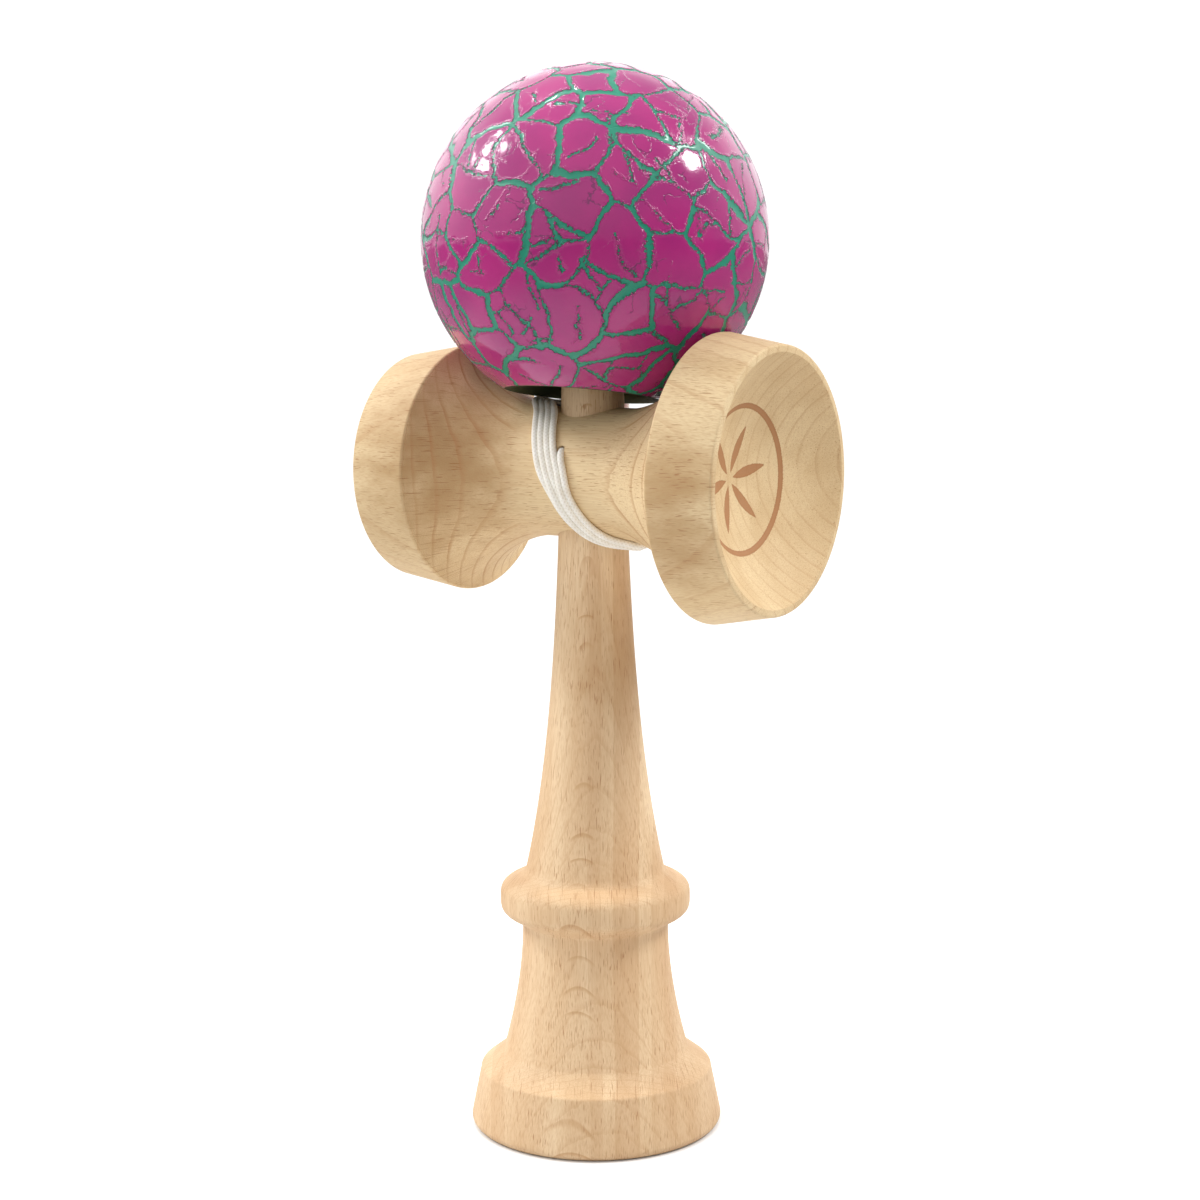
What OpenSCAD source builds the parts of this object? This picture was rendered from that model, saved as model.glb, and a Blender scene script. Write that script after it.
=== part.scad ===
// Kendama: a turned handle with a spike, a crosspiece with two cups, a ball and the string that ties them.
// Millimetres, +Z up. The origin is on the handle's axis, in the plane of the base cup's rim.

/* [Base cup] */
// Radius of the base band at its foot
base_foot_r = 22.4; // [21.5:0.1:24]
// Radius of the base band at its top edge
base_top_r = 20.7; // [19:0.1:21]
// Height of the base band
base_h = 11.8; // [10.5:0.1:13]
// Height of the bevel between the base band and the bell
base_bevel_h = 2.8; // [1:0.1:4]
// Width of the flat rim that the handle stands on
base_rim_w = 1.2; // [0.6:0.1:2]
// Depth of the base cup's dish
base_dish_h = 9; // [6:0.5:10]

/* [Bell and ring] */
// Radius of the bell at its foot
bell_foot_r = 16.5; // [15:0.1:18]
// Radius of the bell just under the ring
bell_top_r = 13; // [12:0.1:14]
// Height at which the bell ends
bell_top_z = 35.8; // [32:0.1:38]
// Radius of the ring
ring_r = 16.9; // [15.5:0.1:19]
// Height of the ring's upright face
ring_face_h = 2.7; // [1.5:0.1:4]
// Height of the bevel under the ring
ring_under_h = 4.1; // [2:0.1:5]
// Height of the bevel on top of the ring
ring_top_h = 2.8; // [1.5:0.1:4]

/* [Shaft and spike] */
// Radius of the shaft where it leaves the ring
shaft_foot_r = 12.6; // [11:0.1:14]
// Radius that the shaft's curve runs towards
shaft_limit_r = 4.9; // [4.4:0.1:5.2]
// Height over which the shaft's curve falls to about a third
shaft_decay_h = 33; // [26:1:40]
// Radius of the spike where it leaves the crosspiece
spike_root_r = 5.5; // [5.2:0.1:5.8]
// Radius of the spike's rounded tip
spike_tip_r = 2.6; // [2:0.1:3.5]

/* [Crosspiece] */
// Height of the crosspiece's axis
cross_z = 117; // [112:0.5:118]
// Length of the crosspiece over both rims
cross_len = 75; // [73:0.5:80]
// Radius of the waist
waist_r = 11.4; // [11:0.1:12]
// Length of the waist's straight part
waist_len = 17; // [12:0.5:20]
// Radius of the big cup at its rim
big_rim_r = 22.7; // [21.5:0.1:24]
// Radius of the big cup at its shoulder
big_shoulder_r = 24.6; // [23.5:0.1:25]
// Width of the big cup's band
big_band_w = 11.5; // [10:0.1:12.5]
// Depth of the big cup's dish
big_dish_h = 10; // [7:0.5:11]
// Radius of the small cup at its rim
small_rim_r = 20.3; // [19:0.1:22]
// Radius of the small cup at its shoulder
small_shoulder_r = 22; // [21:0.1:23.5]
// Width of the small cup's band
small_band_w = 12.3; // [10.5:0.1:13]
// Depth of the small cup's dish
small_dish_h = 8.5; // [6:0.5:10]
// Width of the flat rim of both cups
cup_rim_w = 0.8; // [0.5:0.1:1.5]

/* [Ball] */
// Diameter of the ball
ball_d = 60; // [59:0.5:62]
// Diameter of the flat that the ball is cut to at its mouth
ball_flat_d = 29; // [27:0.5:32]
// Diameter of the hole for the spike
spike_hole_d = 22; // [21:0.5:23]
// Wood between the top of that hole's cone and the pole
pole_wall_h = 6.56; // [5:0.02:8]
// Width of the bevel round the mouth
mouth_bevel_w = 1.4; // [0.5:0.1:2]
// Angle at which the ball leans back on the spike, in degrees
ball_lean = 9; // [0:1:10]
// How far the ball has rolled back on the shoulders
ball_back = 1; // [0:0.1:3]
// Diameter of the bead inside the ball
bead_d = 8.4; // [7.5:0.1:9]

/* [String] */
// Diameter of the string, drawn thin enough for its turns to lie apart
string_d = 0.65; // [0.5:0.05:0.7]
// Step from one turn to the next along the waist
string_step = 1.4; // [1.36:0.02:1.6]
// Diameter of the holes that the string goes through
string_hole_d = 2; // [1.8:0.1:3]
// Diameter of the string's knots
knot_d = 3.4; // [3:0.1:3.6]

/* [Fits] */
// Clearance of the crosspiece's tapered bore round the handle
bore_gap = 0.06; // [0.02:0.01:0.1]
// Clearance between the ball and the shoulder that it rests on
ball_gap = 0.3; // [0.2:0.05:0.6]
// Clearance between the string and the wood under it
string_gap = 0.25; // [0.2:0.05:0.4]
// Room between the tip of the spike and the height at which its hole narrows
spike_room_h = 4.9; // [3:0.1:8]

/* [Hidden] */
$fn = 96;

// Overrun of every cut past the face that it opens, and the round on turned edges
overrun = 1;
edge_r = 0.8;
fine_edge_r = 0.5;
// Points on each round, on each turned curve, and on the spike
round_steps = 4;
curve_steps = 14;
// How fast the bell, the necks and the spike curve
bell_power = 1.8;
neck_power = 1.6;
spike_power = 1.5;

// Heights and radii along the handle
bell_foot_z = base_h + base_bevel_h;
ring_low_z = bell_top_z + ring_under_h;
ring_high_z = ring_low_z + ring_face_h;
shaft_foot_z = ring_high_z + ring_top_h;
seat_low_z = cross_z - waist_r;
seat_high_z = cross_z + waist_r;
seat_low_r = shaft_r(seat_low_z);
seat_slope = (spike_root_r - seat_low_r) / (seat_high_z - seat_low_z);
base_dish_r = base_foot_r - edge_r - base_rim_w;

// Places along the crosspiece, each measured from the handle's axis
cross_half = cross_len / 2;
big_shoulder_x = cross_half - big_band_w;
small_shoulder_x = cross_half - small_band_w;
waist_half = waist_len / 2;
big_dish_r = big_rim_r - fine_edge_r - cup_rim_w;
small_dish_r = small_rim_r - fine_edge_r - cup_rim_w;

// The ball rests on the necks and shoulders of the crosspiece, or with its flat on the string round the waist
ball_r = ball_d / 2;
ball_flat_r = ball_flat_d / 2;
ball_flat_h = sqrt(pow(ball_r, 2) - pow(ball_flat_r, 2));
rest_steps = 20;
string_top_r = waist_r + string_gap + string_d;
ball_z = cross_z + max(concat(
    [(string_top_r + ball_gap + ball_flat_h) / cos(ball_lean) - ball_back * tan(ball_lean)],
    [for (i = [0:rest_steps]) rest_h(1, big_shoulder_x, i / rest_steps)],
    [for (i = [0:rest_steps]) rest_h(-1, small_shoulder_x, i / rest_steps)]
));
BALL_PLACE = [0, ball_back, ball_z];
spike_hole_r = spike_hole_d / 2;
string_hole_r = string_hole_d / 2;
bead_r = bead_d / 2;
// The hole narrows at 45 degrees to the string's hole, and the bead lies in that cone
cone_high_h = ball_r - pole_wall_h;
cone_low_h = cone_high_h - spike_hole_r + string_hole_r;
cone_tip_h = cone_low_h + spike_hole_r;
bead_h = cone_tip_h - sqrt(2) * (bead_r + ball_gap);
bead_hole_r_share = 0.24;
bead_flat_share = 0.86;
bead_knot_share = 0.75;
pole_bevel_share = 0.6;
pole_bevel_h = ball_r - pole_bevel_share * string_hole_r;
// The spike stops short of that cone
handle_h = ball_z + cone_low_h - spike_room_h;
spike_tip_z = handle_h - spike_tip_r;

// The string's turns: counted from the hole at the front, down, under, up the back and over the top
turns = 4;
turn_rings = 24;
winding_sides = 6;
tube_sides = 8;
hole_turn = -15;
leave_turn = 153.3;
lead_turn = 8;
lead_steps = 6;
lead_h = 1.7;
// The turns lean from one side of the spike to the other side of the handle
lean_straight = 6.6;
lean_curl = 3.2;
lean_middle_x = 0.7;
lean_round_share = 0.97;
turns_half = turns / 2;
// The knot lies in a pocket beside the bore
knot_r = knot_d / 2;
knot_gap = 0.25;
pocket_depth = 9.8;

// The string climbs the back of the ball along one of its meridians and bends into its pole
over_bearing = 20.1;
over_from = 110.3;
over_steps = 22;
over_r = ball_r + ball_gap + string_gap + string_d / 2;
pole_bend_r = 2.6;
pole_bend_steps = 8;
pole_bend_h = sqrt(pow(over_r - pole_bend_r, 2) - pow(pole_bend_r, 2));
over_to = asin(pole_bend_r / (over_r - pole_bend_r));

// Small helpers
function unit(v) = v / norm(v);
function blend(a, b, t) = a + (b - a) * t;
function dish_radius(rim_r, depth) = (pow(rim_r, 2) + pow(depth, 2)) / (2 * depth);
function arc(x, y, r, from, to) =
    [for (i = [0:round_steps]) let (a = blend(from, to, i / round_steps)) [x + r * cos(a), y + r * sin(a)]];

// Radius of the shaft at a height
function shaft_r(z) =
    shaft_limit_r + (shaft_foot_r - shaft_limit_r) * exp(-(z - shaft_foot_z) / shaft_decay_h);

// Outline of the handle from the middle of its foot to the tip of the spike, as radius and height
function handle_outline() = concat(
    [[0, 0]],
    arc(base_foot_r - edge_r, edge_r, edge_r, -90, 0),
    arc(base_top_r - edge_r, base_h - edge_r, edge_r, 0, 60),
    [for (i = [0:curve_steps]) let (t = i / curve_steps)
        [blend(bell_top_r, bell_foot_r, pow(1 - t, bell_power)), blend(bell_foot_z, bell_top_z, t)]],
    arc(ring_r - edge_r, ring_low_z + edge_r, edge_r, -40, 0),
    arc(ring_r - edge_r, ring_high_z - edge_r, edge_r, 0, 50),
    [for (i = [0:curve_steps]) let (z = blend(shaft_foot_z, seat_low_z, i / curve_steps)) [shaft_r(z), z]],
    [for (i = [0:curve_steps]) let (t = i / curve_steps)
        [blend(spike_tip_r, spike_root_r, 1 - pow(t, spike_power)), blend(seat_high_z, spike_tip_z, t)]],
    [for (i = [1:round_steps]) let (a = 90 * i / round_steps)
        [spike_tip_r * cos(a), spike_tip_z + spike_tip_r * sin(a)]]
);

// Radius of the crosspiece at a distance from its middle, up to the shoulder of that side
function neck_r(x) =
    let (far = x > 0 ? big_shoulder_x : small_shoulder_x,
         wide = x > 0 ? big_shoulder_r : small_shoulder_r,
         t = max(0, abs(x) - waist_half) / (far - waist_half))
    waist_r + (wide - waist_r) * (1 - pow(1 - pow(min(t, 1), neck_power), 1 / neck_power));

// Height over the crosspiece's axis at which the ball touches one side of it, at a share of the way to the shoulder
function rest_h(side, shoulder_x, share) =
    let (reach = ball_r + ball_gap,
         x = blend(min(ball_flat_r, shoulder_x), min(reach, shoulder_x), share))
    neck_r(side * x) + sqrt(max(0, pow(reach, 2) - pow(x, 2) - pow(ball_back, 2)));

// Outline of one half of the crosspiece, from the waist to the rim, as radius and distance
function cup_outline(side, shoulder_x, shoulder_r, rim_r) = concat(
    [for (i = [0:curve_steps]) let (t = 1 - pow(1 - i / curve_steps, 2), x = blend(waist_half, shoulder_x, t))
        [min(neck_r(side * x), shoulder_r - fine_edge_r), side * x]],
    [[shoulder_r, side * (shoulder_x + fine_edge_r)],
     [rim_r, side * (cross_half - fine_edge_r)],
     [rim_r - fine_edge_r, side * cross_half]]
);

function crosspiece_outline() =
    let (big = cup_outline(1, big_shoulder_x, big_shoulder_r, big_rim_r),
         small = cup_outline(-1, small_shoulder_x, small_shoulder_r, small_rim_r),
         last = len(small) - 1)
    concat([[0, -cross_half]], [for (i = [0:last]) small[last - i]], big, [[0, cross_half]]);

// Places on the string. A turn of 0 is the front of the waist, 90 is under it and 180 is behind it.
function turn_share(turn) = asin(lean_round_share * sin(turn)) / asin(lean_round_share);
function turn_x(turn) =
    let (u = turn_share(turn))
    lean_middle_x + lean_straight * u + lean_curl * pow(u, 3) + string_step * (turns_half - turn / 360);
function turn_r(turn) = neck_r(turn_x(turn)) + string_gap + string_d / 2;
function on_waist(turn, r) = [turn_x(turn), -r * cos(turn), cross_z - r * sin(turn)];

first_turn = hole_turn + lead_turn;
last_turn = 360 * turns + leave_turn;
turn_steps = ceil((last_turn - first_turn) * turn_rings / 360);
lead_r = turn_r(first_turn) - lead_h;
string_hole_x = turn_x(hole_turn);
string_hole_way = [0, -cos(hole_turn), -sin(hole_turn)];
knot_place_r = pocket_depth - knot_r;

// A place over the ball, at a distance from its leaning axis and a height along it
function over_ball(out, up) =
    let (y = out * cos(over_bearing))
    BALL_PLACE + [-out * sin(over_bearing), y * cos(ball_lean) + up * sin(ball_lean),
                  up * cos(ball_lean) - y * sin(ball_lean)];
OVER_BALL = concat(
    [for (i = [0:over_steps]) let (a = blend(over_from, over_to, i / over_steps))
        over_ball(over_r * sin(a), over_r * cos(a))],
    [for (i = [1:pole_bend_steps]) let (a = blend(over_to, -90, i / pole_bend_steps))
        over_ball(pole_bend_r * (1 + sin(a)), pole_bend_h + pole_bend_r * cos(a))]
);

// The lead runs straight out of its hole and bends into the first turn. The tail runs straight on.
WINDING = concat(
    [[string_hole_x, 0, cross_z] + knot_place_r * string_hole_way],
    [for (i = [0:lead_steps - 1]) let (a = 90 * i / lead_steps, turn = hole_turn + lead_turn * (1 - cos(a)))
        blend([string_hole_x, 0, cross_z], [turn_x(turn), 0, cross_z], 1 - cos(a))
        + (lead_r + lead_h * sin(a)) * [0, -cos(turn), -sin(turn)]],
    [for (i = [0:turn_steps]) let (turn = blend(first_turn, last_turn, i / turn_steps))
        on_waist(turn, turn_r(turn))]
);
winding_end = WINDING[len(WINDING) - 1];
riser_way = unit(OVER_BALL[0] - winding_end);
riser_start = winding_end + string_d * riser_way;
// The string ends on the bead's knot, on the ball's leaning axis
ball_way = [0, sin(ball_lean), cos(ball_lean)];
bead_knot_h = bead_h - bead_flat_share * bead_r;
string_end = BALL_PLACE + (bead_knot_h - bead_knot_share * knot_r / 2) * ball_way;
// The riser stops short of the stretch that goes up with the ball
riser_end = OVER_BALL[0] - string_gap * riser_way;

// Least distance from the string's own later turns, measured from points to the spans between points
function span_distance(q, a, b) =
    let (t = max(0, min(1, (q - a) * (b - a) / ((b - a) * (b - a))))) norm(q - blend(a, b, t));
winding_gap = min([for (i = [0:len(WINDING) - 1]) for (j = [i + turn_rings / 2:len(WINDING) - 2])
    span_distance(WINDING[i], WINDING[j], WINDING[j + 1])]) - string_d;
echo(str("Least gap between the string's turns, in mm: ", winding_gap));

// A round tube along a path, with flat ends square to it
module tube(path, d, sides) {
    last = len(path) - 1;
    rings = [for (i = [0:last])
        let (way = unit(path[min(i + 1, last)] - path[max(i - 1, 0)]),
             across = unit(cross(way, [1, 0, 0])),
             over = cross(way, across))
        for (k = [0:sides - 1]) path[i] + d / 2 * (cos(360 * k / sides) * across + sin(360 * k / sides) * over)];
    walls = [for (i = [0:last - 1]) for (k = [0:sides - 1])
        let (a = i * sides + k, b = i * sides + (k + 1) % sides)
        each [[a, b + sides, b], [a, a + sides, b + sides]]];
    ends = [for (k = [1:sides - 2])
        each [[0, k, k + 1], [last * sides, last * sides + k + 1, last * sides + k]]];
    polyhedron(points = rings, faces = concat(walls, ends));
}

// Places a piece on the ball's own leaning axis, measured from the ball's middle
module on_ball() {
    translate(BALL_PLACE) rotate([-ball_lean, 0, 0]) children();
}

// Cuts a dish of a given depth that opens along +Z at the origin
module dish(rim_r, depth) {
    r = dish_radius(rim_r, depth);
    translate([0, 0, r - depth]) sphere(r = r);
}

// Turned handle: base cup, bell, ring, tapering shaft, seat for the crosspiece and spike
module handle() {
    color("burlywood") difference() {
        rotate_extrude() polygon(handle_outline());
        mirror([0, 0, 1]) dish(base_dish_r, base_dish_h);
    }
}

// Turned crosspiece with a big and a small cup, a tapered bore for the handle and a hole for the string
module crosspiece() {
    color("wheat") difference() {
        translate([0, 0, cross_z]) rotate([0, 90, 0]) rotate_extrude() polygon(crosspiece_outline());
        translate([cross_half, 0, cross_z]) rotate([0, 90, 0]) dish(big_dish_r, big_dish_h);
        translate([-cross_half, 0, cross_z]) rotate([0, -90, 0]) dish(small_dish_r, small_dish_h);
        translate([0, 0, seat_low_z - overrun])
            cylinder(h = seat_high_z - seat_low_z + 2 * overrun,
                     r1 = seat_low_r + bore_gap - overrun * seat_slope,
                     r2 = spike_root_r + bore_gap + overrun * seat_slope);
        translate([string_hole_x, 0, cross_z]) rotate([90 + hole_turn, 0, 0]) {
            cylinder(h = waist_r + overrun, r = string_hole_r);
            cylinder(h = pocket_depth + knot_gap, r = knot_r + knot_gap);
        }
    }
}

// Outline of the hole through the ball, from its mouth to its pole, as radius and height
function hole_outline() = [
    [0, -ball_flat_h - overrun],
    [spike_hole_r + mouth_bevel_w + overrun, -ball_flat_h - overrun],
    [spike_hole_r, -ball_flat_h + mouth_bevel_w],
    [spike_hole_r, cone_low_h],
    [string_hole_r, cone_high_h],
    [string_hole_r, pole_bevel_h],
    [2 * string_hole_r, pole_bevel_h + string_hole_r],
    [0, pole_bevel_h + string_hole_r]
];

// Ball with its flat mouth, the hole for the spike, the cone for the bead and the string's hole
module ball() {
    color("mediumvioletred") on_ball() difference() {
        sphere(r = ball_r);
        translate([0, 0, -ball_flat_h - ball_d]) cylinder(h = ball_d, r = ball_d);
        rotate_extrude() polygon(hole_outline());
    }
}

// Bead that keeps the string from slipping out of the ball
module bead() {
    color("tan") on_ball() translate([0, 0, bead_h]) difference() {
        sphere(r = bead_r);
        cylinder(h = 2 * bead_d, r = bead_hole_r_share * bead_r, center = true);
        translate([0, 0, -bead_flat_share * bead_r - bead_d]) cylinder(h = bead_d, r = bead_d);
    }
}

// Knot that holds the string in the crosspiece
module anchor_knot() {
    color("ivory") translate([string_hole_x, 0, cross_z] + knot_place_r * string_hole_way) sphere(r = knot_r);
}

// Knot under the bead, flat where it bears on the bead
module bead_knot() {
    color("ivory") on_ball() translate([0, 0, bead_knot_h]) difference() {
        translate([0, 0, -bead_knot_share * knot_r / 2]) sphere(r = bead_knot_share * knot_r);
        cylinder(h = knot_d, r = knot_d);
    }
}

// String from its knot through the hole and round the waist
module string_winding() {
    color("ivory") tube(concat(WINDING, [riser_start]), string_d, winding_sides);
}

// String from the waist up to the back of the ball
module string_riser() {
    color("ivory") tube([riser_start, riser_end], string_d, tube_sides);
}

// String over the back of the ball, into its pole and down through the bead
module string_over_ball() {
    color("ivory") tube(concat(OVER_BALL, [string_end]), string_d, tube_sides);
}

handle();
crosspiece();
ball();
bead();
anchor_knot();
bead_knot();
string_winding();
string_riser();
string_over_ball();
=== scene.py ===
"""Looks of the kendama: beech handle and crosspiece, a ball with a crackle lacquer, and the braided string.

Sizes are in millimetres, except those of the floor and the lamps. They become metres where a mesh is made.
Most repeat the part's source. Some edges, and the string's thickness and turns, follow the photo closer.
"""

import math

import bpy
import numpy as np
from mathutils import Matrix, Vector, noise


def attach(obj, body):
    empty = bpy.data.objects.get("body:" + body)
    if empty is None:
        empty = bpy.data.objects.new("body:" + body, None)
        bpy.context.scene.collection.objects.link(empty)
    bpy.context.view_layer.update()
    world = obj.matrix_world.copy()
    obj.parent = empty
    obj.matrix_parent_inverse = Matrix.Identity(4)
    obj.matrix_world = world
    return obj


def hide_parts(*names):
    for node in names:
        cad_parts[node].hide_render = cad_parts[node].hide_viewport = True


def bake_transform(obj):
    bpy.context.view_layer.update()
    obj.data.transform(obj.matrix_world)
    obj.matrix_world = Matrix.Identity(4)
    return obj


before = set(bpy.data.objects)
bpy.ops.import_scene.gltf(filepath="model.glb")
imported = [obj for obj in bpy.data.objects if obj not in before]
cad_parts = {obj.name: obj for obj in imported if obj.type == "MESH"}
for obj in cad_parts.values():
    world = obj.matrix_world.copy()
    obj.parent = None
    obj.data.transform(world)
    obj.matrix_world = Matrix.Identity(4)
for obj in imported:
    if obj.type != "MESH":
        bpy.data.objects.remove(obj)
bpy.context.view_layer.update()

MM = 0.001

# Camera: place round the object, its aim, and the lens for the square picture
CAMERA_DISTANCE, CAMERA_HEIGHT = 405.4, 149.5
CAMERA_BEARING, CAMERA_PITCH = math.radians(33.78), 0.1347
CAMERA_YAW, CAMERA_ROLL = 0.0027, -0.005
LENS, SENSOR, CLIP_START = 69.84, 36.0, 10.0

# Handle
BASE_FOOT_R, BASE_TOP_R, BASE_H, BASE_BEVEL_H = 22.4, 20.7, 10.9, 2.8
BASE_RIM_W, BASE_DISH_H = 1.2, 9.0
BELL_FOOT_R, BELL_TOP_R, BELL_TOP_Z, BELL_POWER = 16.5, 13.0, 35.8, 1.8
RING_UNDER = ((13.0, 36.3), (13.15, 36.85), (13.65, 37.35), (14.65, 37.9),
              (15.65, 38.45), (16.3, 39.0), (16.7, 39.6), (16.9, 40.5))
RING_OVER = ((16.9, 42.4), (16.75, 43.2), (16.3, 43.9), (15.5, 44.5),
             (14.3, 45.05), (13.2, 45.55), (12.65, 46.05))
SHAFT_FOOT_R, SHAFT_FOOT_Z, SHAFT_START_Z = 12.6, 45.4, 46.7
SHAFT_LIMIT_R, SHAFT_DECAY_H = 4.9, 33.0
SPIKE_ROOT_R, SPIKE_TIP_R, SPIKE_POWER = 5.5, 2.6, 1.5
FOOT_EDGE_R, EDGE_R, FINE_EDGE_R = 1.6, 0.8, 0.5
BELL_FOOT_Z = BASE_H + BASE_BEVEL_H

# Crosspiece
CROSS_Z, CROSS_HALF, WAIST_R, WAIST_HALF, NECK_POWER = 117.0, 37.5, 11.4, 8.5, 1.6
BIG = {"side": 1, "rim_r": 22.7, "shoulder_r": 24.6, "shoulder_x": 26.0, "dish_h": 10.0}
SMALL = {"side": -1, "rim_r": 20.3, "shoulder_r": 22.0, "shoulder_x": 25.2, "dish_h": 8.5}
CUP_RIM_W, BORE_GAP = 0.8, 0.06
BORE_PAST, HOLE_PAST = 2, 1

# Rosette in the big cup's dish, with a ring round it
ROSETTE_R, ROSETTE_TURN, PETAL_INSET = 10.5, math.radians(12), 0.5
ROSETTE_RING_GAP, ROSETTE_RING_HALF_W, ROSETTE_RIM_W = 1.9, 0.45, 2
ROSETTE_SLACK, NO_ROSETTE = 0.01, -5.0

# Ball and bead
BALL_R, BALL_FLAT_R, BALL_LEAN, BALL_BACK, BALL_GAP = 30.0, 13.5, math.radians(9), 1.0, 0.3
SPIKE_HOLE_R, STRING_HOLE_R, MOUTH_BEVEL_W, POLE_WALL_H, POLE_BEVEL_SHARE = 11.0, 1.0, 1.4, 6.56, 0.6
BEAD_R, BEAD_FLAT_SHARE, KNOT_R, BEAD_KNOT_SHARE = 4.2, 0.86, 1.7, 0.75
SPIKE_ROOM_H = 4.9
BALL_FLAT_H = math.sqrt(BALL_R**2 - BALL_FLAT_R**2)
BALL_Z = CROSS_Z + BIG["shoulder_r"] + math.sqrt(
    (BALL_R + BALL_GAP) ** 2 - BIG["shoulder_x"] ** 2 - BALL_BACK**2)
BALL_PLACE = np.array((0, BALL_BACK, BALL_Z))
CONE_HIGH_H = BALL_R - POLE_WALL_H
CONE_LOW_H = CONE_HIGH_H - SPIKE_HOLE_R + STRING_HOLE_R
HANDLE_H = BALL_Z + CONE_LOW_H - SPIKE_ROOM_H
BEAD_H = CONE_LOW_H + SPIKE_HOLE_R - math.sqrt(2) * (BEAD_R + BALL_GAP)
BEAD_KNOT_H = BEAD_H - BEAD_FLAT_SHARE * BEAD_R

# Crackle: cells, half widths of the cracks between them, and the noise that bends and swells the cracks.
# A half width below zero means no crack.
COARSE_CELLS, FINE_CELLS, NEAREST_CELLS, CELL_SCATTER = 170, 430, 6, 0.62
CRACK_HALF_WIDTHS = (0.24, 0.32, 0.42, 0.5, 0.62)
TWIG_HALF_WIDTHS = (-0.5, -0.25, 0.12, 0.18, 0.22, 0.28)
WARP, FINE_WARP, WARP_OFFSET = (6.0, 1.6, 1), (1.8, 0.5, 2), (17.3, 5.1, 9.7)
SWELL_SIZE, SWELL = 9, 0.15
NO_CRACK, CRACK_LIMIT = -9.0, 2
LIP_H, LIP_OFF, LIP_W = 0.04, 0.25, 0.22
CRACK_H, CRACK_FROM, CRACK_TO = 0.13, -0.15, 0.2
CALM_RINGS, SEED = 3, 11

# String: real thickness, and how its turns lie. A turn of 0 is the front of the waist and 90 is under it.
STRING_D, STRING_STEP, STRING_LIFT, SEEN_HOLE_R = 1.15, 1.24, 0.02, 0.75
TURNS, HOLE_TURN, LEAD_TURN, LEAD_H, LEAVE_TURN = 4, -24.0, 13.0, 1.3, 153.3
LEAN_STRAIGHT, LEAN_CURL, LEAN_CURL_POWER, LEAN_MIDDLE_X, LEAN_ROUND = 6.35, 2.9, 7, -0.25, 0.97
SQUEEZE_SHARE, PILE_H, UNDER_FROM, UNDER_TO = 0.31, 0.5, -0.12, 0.25
BRAID_STRANDS, BRAID_PITCH, BRAID_DEPTH_SHARE, BRAID_MIDDLE = 4, 0.7, 0.06, 0.6
KNOT_PLACE_R, KNOT_THICK_SHARE = 9.8 - KNOT_R, 0.42
OVER_BEARING, OVER_FROM, POLE_BEND_R = math.radians(20.1), math.radians(110.3), 2.6
RISER_OFF, RISER_LAP = 0.8, 0.1

# Fineness of the meshes: steps along profiles and routes, segments round them, and angles of smooth edges
BASE_DISH_STEPS, SMALL_DISH_STEPS, BIG_DISH_STEPS = 28, 22, 64
CURVE_STEPS, SHAFT_STEPS, TIP_STEPS, EDGE_STEPS, ROUNDED_STEPS = 60, 90, 12, 8, 5
LEAD_STEPS, TURN_STEP, OVER_STEPS, POLE_STEPS, KNOT_STEPS = 12, 3, 60, 14, 120
HANDLE_SEGMENTS, CROSS_SEGMENTS, BORE_SEGMENTS = 192, 288, 96
BALL_SEGMENTS, BALL_RINGS = 440, 192
STRING_MESH_STEP, STRING_SIDES, KNOT_SIDES = 0.14, 24, 10
SMOOTH_ANGLE, BALL_SMOOTH_ANGLE, ALL_SMOOTH = 40, 50, 180


def srgb(*values):
    """A colour given as 0 to 255 the way screens show it, as the linear colour that shaders take."""
    shares = [v / 255 for v in values]
    return tuple(s / 12.92 if s <= 0.04045 else ((s + 0.055) / 1.055) ** 2.4 for s in shares) + (1.0,)


def smooth_step(x, low, high):
    t = np.clip((np.asarray(x, float) - low) / (high - low), 0, 1)
    return t * t * (3 - 2 * t)


# Camera
def place_camera():
    data = bpy.data.cameras.new("camera")
    data.lens, data.sensor_width, data.clip_start = LENS, SENSOR, CLIP_START * MM
    camera = bpy.data.objects.new("camera", data)
    bpy.context.scene.collection.objects.link(camera)
    turn = Matrix.Rotation(CAMERA_BEARING, 3, "Z")
    ahead = turn @ Vector((math.sin(CAMERA_YAW) * math.cos(CAMERA_PITCH),
                           math.cos(CAMERA_YAW) * math.cos(CAMERA_PITCH), -math.sin(CAMERA_PITCH)))
    right = turn @ Vector((math.cos(CAMERA_YAW), -math.sin(CAMERA_YAW), 0))
    up = right.cross(ahead)
    right, up = (math.cos(CAMERA_ROLL) * right + math.sin(CAMERA_ROLL) * up,
                 math.cos(CAMERA_ROLL) * up - math.sin(CAMERA_ROLL) * right)
    place = turn @ Vector((0, -CAMERA_DISTANCE * MM, CAMERA_HEIGHT * MM))
    camera.matrix_world = Matrix.Translation(place) @ Matrix((right, up, -ahead)).transposed().to_4x4()
    bpy.context.scene.camera = camera
    return right, up, -ahead


CAMERA_RIGHT, CAMERA_UP, CAMERA_BACK = place_camera()


def from_camera(way):
    """A way given as right, up and towards the camera, as a unit vector of the frame."""
    return (way[0] * CAMERA_RIGHT + way[1] * CAMERA_UP + way[2] * CAMERA_BACK).normalized()


# Meshes
def mesh_object(name, points, faces, smooth_angle=SMOOTH_ANGLE):
    mesh = bpy.data.meshes.new(name)
    mesh.from_pydata([tuple(p) for p in np.asarray(points, float) * MM], [], faces)
    mesh.update()
    return finished(name, mesh, smooth_angle)


def finished(name, mesh, smooth_angle=SMOOTH_ANGLE):
    mesh.polygons.foreach_set("use_smooth", [True] * len(mesh.polygons))
    mesh.set_sharp_from_angle(angle=math.radians(smooth_angle))
    made = bpy.data.objects.new(name, mesh)
    bpy.context.scene.collection.objects.link(made)
    return made


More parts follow.
